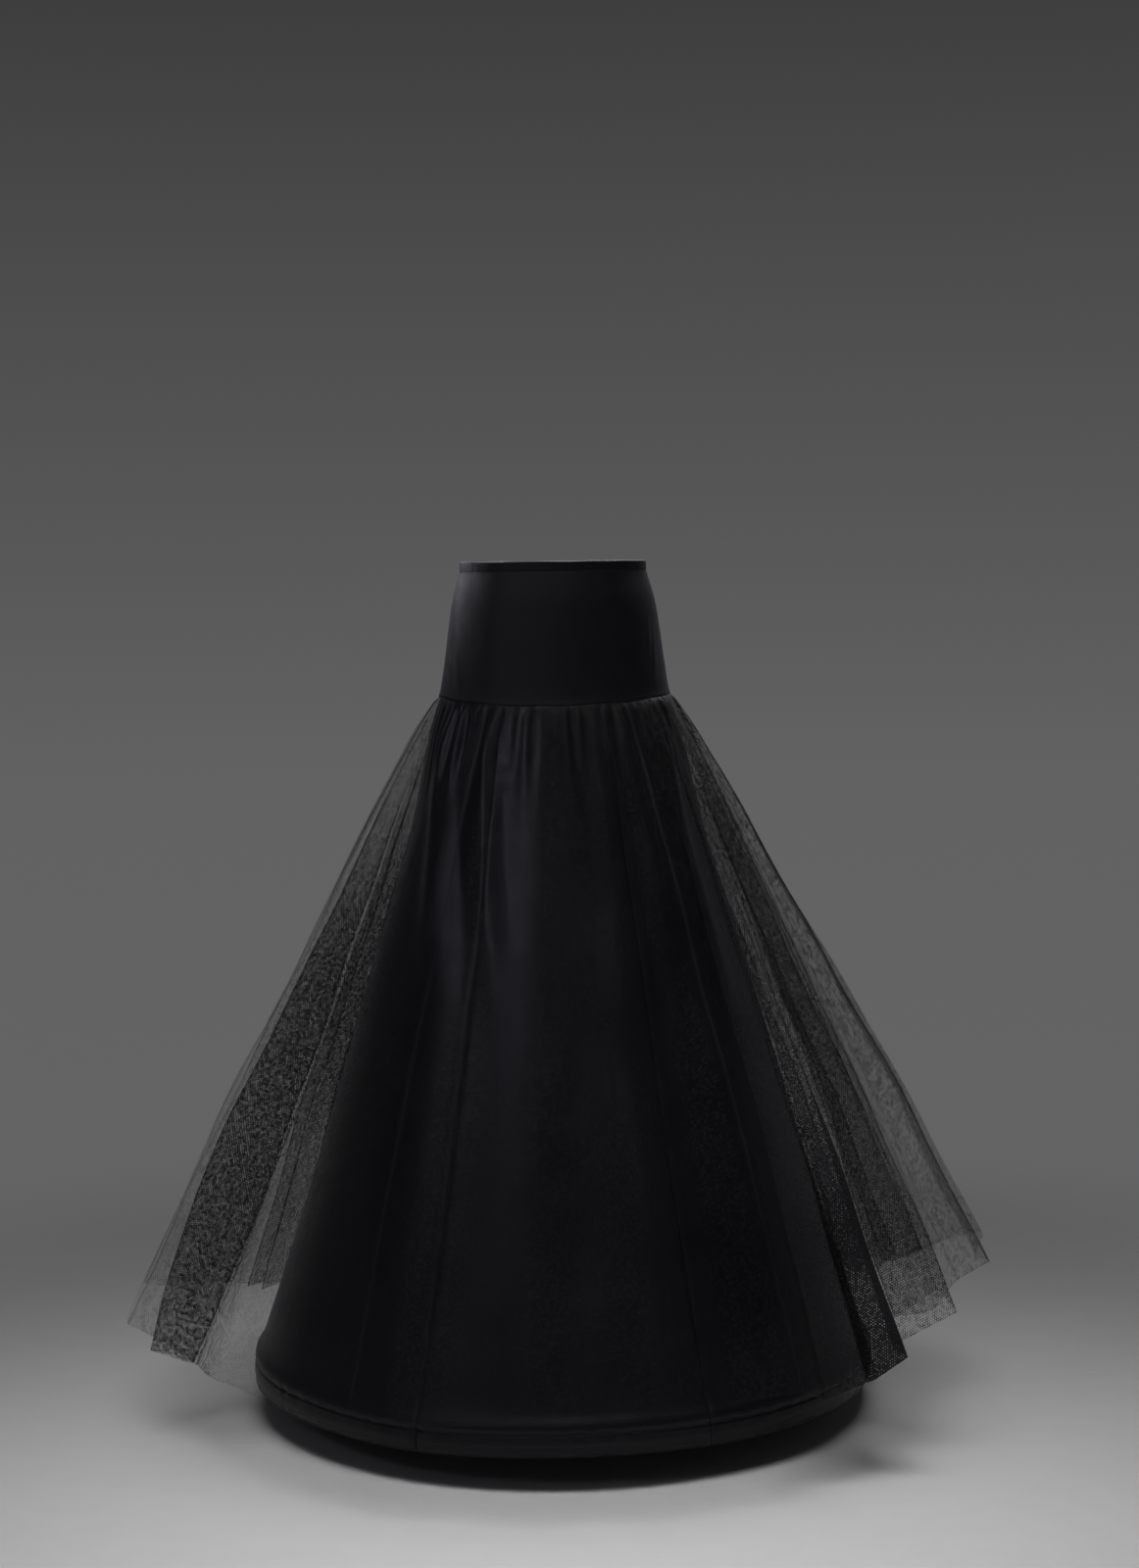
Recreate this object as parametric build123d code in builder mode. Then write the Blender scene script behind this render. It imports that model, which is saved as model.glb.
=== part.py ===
from build123d import *
import math
import os

# Hooped crinoline petticoat, hanging from its waist edge.
# Origin: centre of the waist opening, in the plane of the top edge.
# +Z up, the front faces -Y, +X is to the right as seen from the front.
# Left and right in the names are as seen from the front.

# ---- driving dimensions, millimetres -------------------------------------
CLOTH = 1.5            # thickness of every cloth panel

# waist casing and elastic
WAIST_A = 118.0        # half width of the waist edge, outside
WAIST_B = 90.0         # half depth of the waist edge, outside
CASING_H = 14.0        # height of the turned-in casing
ELASTIC_W = 10.0       # width of the flat elastic
ELASTIC_T = 1.5        # thickness of the flat elastic

# yoke, outside half widths and half depths from the casing to the hip seam
YOKE_H = 175.0
YOKE = [
    (-CASING_H, WAIST_A, WAIST_B),
    (-50.0, 128.0, 99.5),
    (-85.0, 133.5, 104.8),
    (-125.0, 138.6, 109.6),
    (-163.0, 143.8, 114.4),
    (-YOKE_H, 146.2, 116.8),
]
SEAM_IN_A = 142.7      # inside half width at the hip seam, where the edge is turned and thicker
SEAM_IN_B = 113.3

# lining, outside half widths and half depths down to the hem band
LINING = [
    (-YOKE_H, 144.4, 115.0),
    (-250.0, 169.0, 143.0),
    (-346.0, 192.0, 172.0),
    (-500.0, 239.0, 226.0),
    (-660.0, 286.0, 279.0),
    (-829.0, 337.0, 334.0),
    (-919.0, 364.0, 363.0),
    (-985.0, 386.0, 386.0),
]
HEM_R = 395.0          # outside radius of the hem
HEM_TOP_Z = -1003.0    # where the hem band turns upright
LENGTH = 1035.0        # waist edge to hem edge
LINING_FRONT_HALF = 26.0   # half angle of the front and back lining gores, degrees

# hoop channel, hoop and connector
CHANNEL_GAP = 4.0      # room between the hem and the casing tape
TAPE_EDGE = 4.0        # sewn edge of the casing tape
TAPE_TOP_Z = -1006.0
HOOP_W = 8.0           # height of the flat hoop
HOOP_T = 1.6           # thickness of the flat hoop
HOOP_Z = -1020.5       # middle of the hoop
HOOP_OUT_R = 392.8     # outside radius of the hoop
HOOP_GAP = 1.0         # gap between the hoop's two ends
SLEEVE_WALL = 0.7      # wall of the crimped connector sleeve
SLEEVE_L = 42.0        # length of the connector sleeve

# net overskirt, outside half widths, half depths and sideways shift
NET = [
    (-YOKE_H, 146.2, 116.8, 0.0),
    (-183.0, 154.0, 124.4, 0.0),
    (-240.0, 189.0, 160.0, 2.0),
    (-350.0, 250.0, 223.0, 8.0),
    (-535.0, 348.0, 325.0, 12.0),
    (-665.0, 421.0, 399.0, 13.0),
    (-800.0, 486.0, 465.0, 13.0),
    (-900.0, 534.0, 513.0, 13.0),
    (-975.0, 566.0, 545.0, 13.0),
]
NET_HEM_Z = -940.0     # height of the net's hem on the axis
NET_HEM_DX = 0.0455    # rise of the hem towards the right
NET_HEM_DY = 0.0040    # rise of the hem towards the back
NET_FRONT_HALF = 30.0  # half angle of the net gores, degrees

os.makedirs("parts", exist_ok=True)


def shell(outer, inner):
    """Closed cloth tube between two stacks of ovals (z, half width, half depth, shift)."""
    with BuildPart() as tube:
        for z, a, b, shift in outer:
            with BuildSketch(Plane.XY.offset(z)):
                with Locations((shift, 0)):
                    Ellipse(a, b)
        loft(ruled=True)
    with BuildPart() as room:
        for z, a, b, shift in inner:
            with BuildSketch(Plane.XY.offset(z)):
                with Locations((shift, 0)):
                    Ellipse(a, b)
        loft(ruled=True)
    with BuildPart() as cloth:
        add(tube.part)
        add(room.part, mode=Mode.SUBTRACT)
    return cloth.part


def wedge(cloth, start, end):
    """The gore of a skirt between two upright planes through the axis, angles in degrees from +X."""
    reach = 1200.0
    a, b = math.radians(start), math.radians(end)
    with BuildPart() as gore:
        add(cloth)
        with BuildSketch(Plane.XY.offset(-LENGTH - 50)):
            with BuildLine():
                Polyline(
                    (0, 0),
                    (reach * math.cos(a), reach * math.sin(a)),
                    (reach * math.cos(b), reach * math.sin(b)),
                    close=True,
                )
            make_face()
        extrude(amount=LENGTH + 100, mode=Mode.INTERSECT)
    return gore


# ---- yoke with its turned-in casing ---------------------------------------
yoke_outer = [(z, a, b, 0.0) for z, a, b in YOKE]
yoke_inner = [(z, a - CLOTH, b - CLOTH, 0.0) for z, a, b in YOKE[:-1]]
yoke_inner.append((-YOKE_H, SEAM_IN_A, SEAM_IN_B, 0.0))
yoke_wall = shell(yoke_outer, yoke_inner)

with BuildPart() as yoke:
    add(yoke_wall)
    # casing: outer wall, folded top edge and inner wall in one piece of cloth
    with BuildSketch(Plane.XY.offset(-CASING_H)):
        Ellipse(WAIST_A, WAIST_B)
        Ellipse(WAIST_A - 2 * CLOTH - ELASTIC_T, WAIST_B - 2 * CLOTH - ELASTIC_T, mode=Mode.SUBTRACT)
    extrude(amount=CASING_H)
    # pocket that the elastic fills
    with BuildSketch(Plane.XY.offset(-CLOTH - ELASTIC_W)):
        Ellipse(WAIST_A - CLOTH, WAIST_B - CLOTH)
        Ellipse(WAIST_A - CLOTH - ELASTIC_T, WAIST_B - CLOTH - ELASTIC_T, mode=Mode.SUBTRACT)
    extrude(amount=ELASTIC_W, mode=Mode.SUBTRACT)

with BuildPart() as yoke_front:
    add(yoke.part)
    split(bisect_by=Plane.XZ, keep=Keep.TOP)
yoke_front.part.label = "yoke_front"
export_step(yoke_front.part, "parts/yoke_front.step")

with BuildPart() as yoke_back:
    add(yoke.part)
    split(bisect_by=Plane.XZ, keep=Keep.BOTTOM)
yoke_back.part.label = "yoke_back"
export_step(yoke_back.part, "parts/yoke_back.step")

with BuildPart() as waist_elastic:
    with BuildSketch(Plane.XY.offset(-CLOTH - ELASTIC_W)):
        Ellipse(WAIST_A - CLOTH, WAIST_B - CLOTH)
        Ellipse(WAIST_A - CLOTH - ELASTIC_T, WAIST_B - CLOTH - ELASTIC_T, mode=Mode.SUBTRACT)
    extrude(amount=ELASTIC_W)
waist_elastic.part.label = "waist_elastic"
export_step(waist_elastic.part, "parts/waist_elastic.step")

# ---- lining skirt: flared part, then the upright hem band -----------------
lining_outer = [(z, a, b, 0.0) for z, a, b in LINING]
lining_inner = [(z, a - CLOTH, b - CLOTH, 0.0) for z, a, b in LINING]
lining_flare = shell(lining_outer, lining_inner)
band_top_z, band_top_r = LINING[-1][0], LINING[-1][1]

with BuildPart() as hem_band:
    with BuildSketch(Plane.XZ):
        with BuildLine():
            Polyline(
                (band_top_r - CLOTH, band_top_z),
                (band_top_r, band_top_z),
                (HEM_R, HEM_TOP_Z),
                (HEM_R, -LENGTH),
                (HEM_R - CLOTH, -LENGTH),
                (HEM_R - CLOTH, HEM_TOP_Z),
                close=True,
            )
        make_face()
    revolve(axis=Axis.Z)

with BuildPart() as lining:
    add(lining_flare)
    add(hem_band.part)

f = LINING_FRONT_HALF
LINING_GORES = [
    ("lining_front", -90 - f, -90 + f),
    ("lining_front_right", -90 + f, 0),
    ("lining_back_right", 0, 90 - f),
    ("lining_back", 90 - f, 90 + f),
    ("lining_back_left", 90 + f, 180),
    ("lining_front_left", 180, 270 - f),
]
for name, start, end in LINING_GORES:
    gore = wedge(lining.part, start, end)
    gore.part.label = name
    export_step(gore.part, "parts/" + name + ".step")

# ---- hoop channel: tape with two sewn edges and a raised middle -----------
tape_r = HEM_R - CLOTH
with BuildPart() as hoop_casing:
    with BuildSketch(Plane.XZ):
        with BuildLine():
            Polyline(
                (tape_r, TAPE_TOP_Z),
                (tape_r, TAPE_TOP_Z - TAPE_EDGE),
                (tape_r - CHANNEL_GAP, TAPE_TOP_Z - TAPE_EDGE - 3),
                (tape_r - CHANNEL_GAP, -LENGTH + TAPE_EDGE + 3),
                (tape_r, -LENGTH + TAPE_EDGE),
                (tape_r, -LENGTH),
                (tape_r - CLOTH, -LENGTH),
                (tape_r - CLOTH, -LENGTH + TAPE_EDGE - 0.6),
                (tape_r - CHANNEL_GAP - CLOTH, -LENGTH + TAPE_EDGE + 2.4),
                (tape_r - CHANNEL_GAP - CLOTH, TAPE_TOP_Z - TAPE_EDGE - 2.4),
                (tape_r - CLOTH, TAPE_TOP_Z - TAPE_EDGE + 0.6),
                (tape_r - CLOTH, TAPE_TOP_Z),
                close=True,
            )
        make_face()
    revolve(axis=Axis.Z)
hoop_casing.part.label = "hoop_casing"
export_step(hoop_casing.part, "parts/hoop_casing.step")

# ---- hoop: flat strip bent into an open ring, its ends meet at the back ---
gap_deg = math.degrees(HOOP_GAP / HOOP_OUT_R)
with BuildPart() as hem_hoop:
    with BuildSketch(Plane.XZ.rotated((0, 0, 90 + gap_deg / 2))):
        with Locations((HOOP_OUT_R - HOOP_T / 2, HOOP_Z)):
            Rectangle(HOOP_T, HOOP_W)
    revolve(axis=Axis.Z, revolution_arc=360 - gap_deg)
    fillet(hem_hoop.edges().filter_by(Axis.Z).group_by(Axis.Y)[-1], 0.3)
hem_hoop.part.label = "hem_hoop"
export_step(hem_hoop.part, "parts/hem_hoop.step")

# ---- connector: sleeve crimped over both ends of the hoop -----------------
sleeve_deg = math.degrees(SLEEVE_L / HOOP_OUT_R)
with BuildPart() as hoop_connector:
    with BuildSketch(Plane.XZ.rotated((0, 0, 90 - sleeve_deg / 2))):
        with Locations((HOOP_OUT_R - HOOP_T / 2, HOOP_Z)):
            Rectangle(HOOP_T + 2 * SLEEVE_WALL, HOOP_W + 2 * SLEEVE_WALL)
            Rectangle(HOOP_T, HOOP_W, mode=Mode.SUBTRACT)
    revolve(axis=Axis.Z, revolution_arc=sleeve_deg)
hoop_connector.part.label = "hoop_connector"
export_step(hoop_connector.part, "parts/hoop_connector.step")

# ---- net overskirt --------------------------------------------------------
net_inner = [(z, a - CLOTH, b - CLOTH, s) for z, a, b, s in NET]
net_tube = shell(NET, net_inner)
hem_plane = Plane(
    origin=(0, 0, NET_HEM_Z),
    x_dir=(1, 0, NET_HEM_DX),
    z_dir=(-NET_HEM_DX, -NET_HEM_DY, 1),
)
with BuildPart() as net:
    add(net_tube)
    split(bisect_by=hem_plane, keep=Keep.TOP)

n = NET_FRONT_HALF
NET_GORES = [
    ("net_front", -90 - n, -90 + n),
    ("net_front_right", -90 + n, 0),
    ("net_back_right", 0, 90 - n),
    ("net_back", 90 - n, 90 + n),
    ("net_back_left", 90 + n, 180),
    ("net_front_left", 180, 270 - n),
]
for name, start, end in NET_GORES:
    gore = wedge(net.part, start, end)
    gore.part.label = name
    export_step(gore.part, "parts/" + name + ".step")

for label, body in (("yoke", yoke), ("lining", lining), ("net", net), ("hoop", hem_hoop)):
    print(label, "volume", round(body.part.volume / 1000.0, 1), "cm3")
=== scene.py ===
import math

import bpy
import numpy as np
from mathutils import Matrix, Vector


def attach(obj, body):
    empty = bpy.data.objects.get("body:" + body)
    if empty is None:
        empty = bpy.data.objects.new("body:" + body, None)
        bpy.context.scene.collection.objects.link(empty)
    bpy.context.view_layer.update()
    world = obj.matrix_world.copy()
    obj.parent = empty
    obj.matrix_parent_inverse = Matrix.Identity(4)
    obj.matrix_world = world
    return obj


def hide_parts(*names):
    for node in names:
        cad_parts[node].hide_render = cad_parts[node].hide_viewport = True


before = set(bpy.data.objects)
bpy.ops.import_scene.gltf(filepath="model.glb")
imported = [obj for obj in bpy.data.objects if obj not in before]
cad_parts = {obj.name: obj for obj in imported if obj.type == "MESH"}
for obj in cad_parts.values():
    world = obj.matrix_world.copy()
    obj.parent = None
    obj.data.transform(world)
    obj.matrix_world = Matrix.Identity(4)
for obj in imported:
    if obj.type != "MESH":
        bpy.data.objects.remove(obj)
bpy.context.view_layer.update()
rng = np.random.default_rng(20)

# ---------------------------------------------------------------------------
# Hooped crinoline petticoat. Metres; origin in the middle of the waist edge,
# +Z up, front towards -Y, +X to the right as seen from the front.
# ---------------------------------------------------------------------------

# the same driving sizes as the solid model: z, half width, half depth
YOKE = [(-0.014, 0.118, 0.090), (-0.050, 0.128, 0.0995), (-0.085, 0.1335, 0.1048),
        (-0.125, 0.1386, 0.1096), (-0.163, 0.1438, 0.1144), (-0.175, 0.1462, 0.1168)]
LINING = [(-0.175, 0.1444, 0.1150), (-0.250, 0.169, 0.143), (-0.346, 0.192, 0.172),
          (-0.500, 0.239, 0.226), (-0.660, 0.286, 0.279), (-0.829, 0.337, 0.334),
          (-0.919, 0.364, 0.363), (-0.985, 0.386, 0.386), (-1.003, 0.395, 0.395), (-1.035, 0.395, 0.395)]
NET = [(-0.175, 0.1462, 0.1168, 0.0), (-0.183, 0.154, 0.1244, 0.0), (-0.240, 0.189, 0.160, 0.002),
       (-0.350, 0.250, 0.223, 0.008), (-0.535, 0.348, 0.325, 0.012), (-0.665, 0.421, 0.399, 0.013),
       (-0.800, 0.486, 0.465, 0.013), (-0.900, 0.534, 0.513, 0.013), (-0.975, 0.566, 0.545, 0.013)]
LENGTH = 1.035
YOKE_H = 0.175
HEM_R = 0.395
FLOOR_Z = -1.078


# ---- small numeric helpers --------------------------------------------------
def pchip(xs, ys):
    """Monotone cubic through the points; xs rising."""
    xs, ys = np.asarray(xs, float), np.asarray(ys, float)
    h, d = np.diff(xs), np.diff(ys) / np.diff(xs)
    m = np.zeros_like(ys)
    m[0], m[-1] = d[0], d[-1]
    for i in range(1, len(xs) - 1):
        if d[i - 1] * d[i] > 0:
            w1, w2 = 2 * h[i] + h[i - 1], h[i] + 2 * h[i - 1]
            m[i] = (w1 + w2) / (w1 / d[i - 1] + w2 / d[i])

    def f(x):
        x = np.clip(np.asarray(x, float), xs[0], xs[-1])
        i = np.clip(np.searchsorted(xs, x) - 1, 0, len(xs) - 2)
        t = (x - xs[i]) / h[i]
        return ((1 + 2 * t) * (1 - t) ** 2 * ys[i] + t * (1 - t) ** 2 * h[i] * m[i]
                + t * t * (3 - 2 * t) * ys[i + 1] + t * t * (t - 1) * h[i] * m[i + 1])
    return f


def curve_of(rows, column):
    rows = rows[::-1]
    return pchip([r[0] for r in rows], [r[column] for r in rows])


def smooth(a, b, x):
    t = np.clip((np.asarray(x, float) - a) / (b - a), 0, 1)
    return t * t * (3 - 2 * t)


def ripple(x, waves):
    """Sum of sines: (turns per unit, phase, size)."""
    return sum(size * np.sin(2 * np.pi * turns * x + phase) for turns, phase, size in waves)


def random_waves(turns, size, n):
    picks = rng.choice(np.arange(turns[0], turns[1] + 1), n, replace=False)
    return [(float(k), float(rng.uniform(0, 2 * np.pi)), float(size * rng.uniform(0.5, 1.0) / math.sqrt(n))) for k in picks]


yoke_a, yoke_b = curve_of(YOKE, 1), curve_of(YOKE, 2)
lining_a, lining_b = curve_of(LINING, 1), curve_of(LINING, 2)
net_a, net_b, net_shift = curve_of(NET, 1), curve_of(NET, 2), curve_of(NET, 3)


def seam_rise(t):
    """How far the hip seam stands above or below its mean height: a little higher at the sides."""
    return -0.0025 + 0.0085 * np.cos(t) ** 2


# ---- mesh helpers -----------------------------------------------------------
def grid_piece(name, points, uv, material, closed=False, extra=None):
    """A smooth sheet from a grid of points [rows, columns, 3], with its flat pattern as the UV map."""
    rows, cols = points.shape[:2]
    mesh = bpy.data.meshes.new(name)
    i = np.arange(rows * cols).reshape(rows, cols)
    if closed:
        i = np.concatenate([i, i[:, :1]], axis=1)
        uv = np.concatenate([uv, uv[:, :1] + np.array([uv[0, -1, 0] - uv[0, 0, 0] + (uv[0, 1, 0] - uv[0, 0, 0]), 0])], axis=1)
    corners = np.stack([i[:-1, :-1], i[:-1, 1:], i[1:, 1:], i[1:, :-1]], axis=-1).reshape(-1, 4)
    mesh.vertices.add(rows * cols)
    mesh.vertices.foreach_set("co", np.ascontiguousarray(points.reshape(-1, 3), dtype=np.float32).ravel())
    n = len(corners)
    mesh.loops.add(4 * n)
    mesh.loops.foreach_set("vertex_index", corners.ravel().astype(np.int32))
    mesh.polygons.add(n)
    mesh.polygons.foreach_set("loop_start", np.arange(0, 4 * n, 4, dtype=np.int32))
    mesh.polygons.foreach_set("loop_total", np.full(n, 4, dtype=np.int32))
    mesh.polygons.foreach_set("use_smooth", np.ones(n, dtype=bool))
    layer = mesh.uv_layers.new(name="flat")
    flat = np.stack([uv[:-1, :-1], uv[:-1, 1:], uv[1:, 1:], uv[1:, :-1]], axis=2).reshape(-1, 2)
    layer.data.foreach_set("uv", flat.astype(np.float32).ravel())
    for key, values in (extra or {}).items():
        a = mesh.attributes.new(key, "FLOAT", "POINT")
        a.data.foreach_set("value", np.ascontiguousarray(values, dtype=np.float32).ravel())
    mesh.update()
    mesh.validate()
    o = bpy.data.objects.new(name, mesh)
    bpy.context.scene.collection.objects.link(o)
    mesh.materials.append(material)
    return o


def thicken(o, thickness):
    """Gives a sheet its cloth thickness, away from its outer face, with closed edges."""
    m = o.modifiers.new("cloth", "SOLIDIFY")
    m.thickness, m.offset, m.use_rim, m.use_even_offset = thickness, -1.0, True, False
    apply_modifiers(o)


def apply_modifiers(o):
    dg = bpy.context.evaluated_depsgraph_get()
    dg.update()
    new = bpy.data.meshes.new_from_object(o.evaluated_get(dg), preserve_all_data_layers=True, depsgraph=dg)
    old = o.data
    o.modifiers.clear()
    o.data = new
    new.name = o.name
    bpy.data.meshes.remove(old)


def area_of(o):
    return sum(p.area for p in o.data.polygons)


# ---- materials --------------------------------------------------------------
class Nodes:
    def __init__(self, name):
        self.material = bpy.data.materials.new(name)
        self.material.use_nodes = True
        self.tree = self.material.node_tree
        self.tree.nodes.clear()
        self.out = self.add("ShaderNodeOutputMaterial")
        self.bsdf = self.add("ShaderNodeBsdfPrincipled")
        self.link(self.bsdf.outputs[0], self.out.inputs["Surface"])

    def add(self, kind, **values):
        n = self.tree.nodes.new(kind)
        for k, v in values.items():
            setattr(n, k, v)
        return n

    def link(self, a, b):
        self.tree.links.new(a, b)

    def put(self, socket, value):
        if isinstance(value, bpy.types.NodeSocket):
            self.link(value, socket)
        else:
            socket.default_value = value

    def math(self, op, a, b=None, c=None, clamp=False):
        n = self.add("ShaderNodeMath", operation=op, use_clamp=clamp)
        for s, v in zip(n.inputs, (a, b, c)):
            if v is not None:
                self.put(s, v)
        return n.outputs[0]

    def vec(self, op, a, b=None, c=None):
        n = self.add("ShaderNodeVectorMath", operation=op)
        for s, v in zip(n.inputs, (a, b, c)):
            if v is not None:
                self.put(s, v)
        return n.outputs["Value"] if op in ("DOT_PRODUCT", "LENGTH") else n.outputs["Vector"]

    def noise(self, vector, scale, detail=2.0, rough=0.5):
        n = self.add("ShaderNodeTexNoise")
        n.inputs["Scale"].default_value = scale
        n.inputs["Detail"].default_value = detail
        n.inputs["Roughness"].default_value = rough
        self.link(vector, n.inputs["Vector"])
        return n.outputs["Fac"]

    def ramp(self, value, low, high, to_low, to_high, kind="SMOOTHSTEP"):
        n = self.add("ShaderNodeMapRange", interpolation_type=kind)
        for s, v in zip(n.inputs, (value, low, high, to_low, to_high)):
            self.put(s, v)
        return n.outputs[0]

    def mix_colour(self, factor, a, b):
        n = self.add("ShaderNodeMix", data_type="RGBA")
        self.put(n.inputs[0], factor)
        self.put(n.inputs[6], a)
        self.put(n.inputs[7], b)
        return n.outputs[2]

    def uv(self):
        return self.add("ShaderNodeUVMap", uv_map="flat").outputs[0]

    def xyz(self, vector):
        n = self.add("ShaderNodeSeparateXYZ")
        self.link(vector, n.inputs[0])
        return n.outputs

    def bump(self, height, strength, distance):
        n = self.add("ShaderNodeBump")
        n.inputs["Strength"].default_value = strength
        n.inputs["Distance"].default_value = distance
        self.link(height, n.inputs["Height"])
        self.link(n.outputs[0], self.bsdf.inputs["Normal"])
        return n

    def set(self, **values):
        for k, v in values.items():
            self.bsdf.inputs[k.replace("_", " ")].default_value = v


def weave_height(n, uv, pitch, slant=0.0):
    """Over-and-under threads at the given pitch in metres; slant shifts each row, as in a twill."""
    x, y = n.xyz(uv)[0], n.xyz(uv)[1]
    k = 2 * math.pi / pitch
    xs = n.math("MULTIPLY_ADD", y, slant, x) if slant else x
    a = n.math("SINE", n.math("MULTIPLY", xs, k))
    b = n.math("SINE", n.math("MULTIPLY", y, k))
    return n.math("MULTIPLY", a, b)


def knit_material():
    n = Nodes("yoke_knit")
    uv = n.uv()
    soft = n.noise(uv, 55.0, 3.0, 0.55)
    x, y = n.xyz(uv)[0], n.xyz(uv)[1]
    wale = n.math("SINE", n.math("MULTIPLY", x, 2 * math.pi / 0.0009))
    course = n.math("SINE", n.math("ADD", n.math("MULTIPLY", y, 2 * math.pi / 0.0007), n.math("MULTIPLY", wale, 1.2)))
    height = n.math("MULTIPLY_ADD", course, 0.4, n.math("MULTIPLY", wale, 0.6))
    colour = n.mix_colour(soft, (0.0044, 0.0043, 0.0062, 1), (0.0066, 0.0064, 0.0092, 1))
    n.link(colour, n.bsdf.inputs["Base Color"])
    n.link(n.ramp(soft, 0.25, 0.75, 0.50, 0.64), n.bsdf.inputs["Roughness"])
    n.set(Specular_IOR_Level=0.20, Sheen_Weight=0.03, Sheen_Roughness=0.30, Sheen_Tint=(0.75, 0.75, 1.0, 1))
    n.bump(height, 0.35, 0.00012)
    return n.material


def lining_material():
    n = Nodes("lining_taffeta")
    uv = n.uv()
    soft = n.noise(uv, 26.0, 4.0, 0.55)
    slub = n.add("ShaderNodeMapping")
    slub.inputs["Scale"].default_value = (900.0, 40.0, 1.0)
    n.link(uv, slub.inputs["Vector"])
    threads = n.noise(slub.outputs[0], 1.0, 2.0, 0.5)
    height = n.math("MULTIPLY_ADD", threads, 0.9, n.math("MULTIPLY", weave_height(n, uv, 0.0008), 0.35))
    colour = n.mix_colour(soft, (0.0038, 0.0037, 0.0054, 1), (0.0058, 0.0056, 0.0082, 1))
    n.link(colour, n.bsdf.inputs["Base Color"])
    n.link(n.ramp(soft, 0.25, 0.75, 0.33, 0.41), n.bsdf.inputs["Roughness"])
    n.set(Specular_IOR_Level=0.21, Sheen_Weight=0.012, Sheen_Roughness=0.35, Sheen_Tint=(0.72, 0.72, 1.0, 1))
    n.bump(height, 0.30, 0.00010)
    return n.material


def tape_material():
    n = Nodes("casing_tape")
    uv = n.uv()
    soft = n.noise(uv, 80.0, 3.0, 0.5)
    twill = weave_height(n, uv, 0.0014, 1.0)
    colour = n.mix_colour(soft, (0.012, 0.012, 0.015, 1), (0.019, 0.018, 0.022, 1))
    n.link(colour, n.bsdf.inputs["Base Color"])
    n.link(n.ramp(soft, 0.3, 0.7, 0.6, 0.75), n.bsdf.inputs["Roughness"])
    n.set(Specular_IOR_Level=0.35, Sheen_Weight=0.1, Sheen_Roughness=0.5)
    n.bump(twill, 0.5, 0.0002)
    return n.material


def thread_material():
    n = Nodes("sewing_thread")
    at = n.add("ShaderNodeTexCoord").outputs["Object"]
    soft = n.noise(at, 900.0, 2.0, 0.5)
    colour = n.mix_colour(soft, (0.012, 0.012, 0.016, 1), (0.030, 0.029, 0.036, 1))
    n.link(colour, n.bsdf.inputs["Base Color"])
    n.link(n.ramp(soft, 0.3, 0.7, 0.38, 0.5), n.bsdf.inputs["Roughness"])
    n.set(Specular_IOR_Level=0.5)
    n.bump(soft, 0.3, 0.0002)
    return n.material


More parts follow.
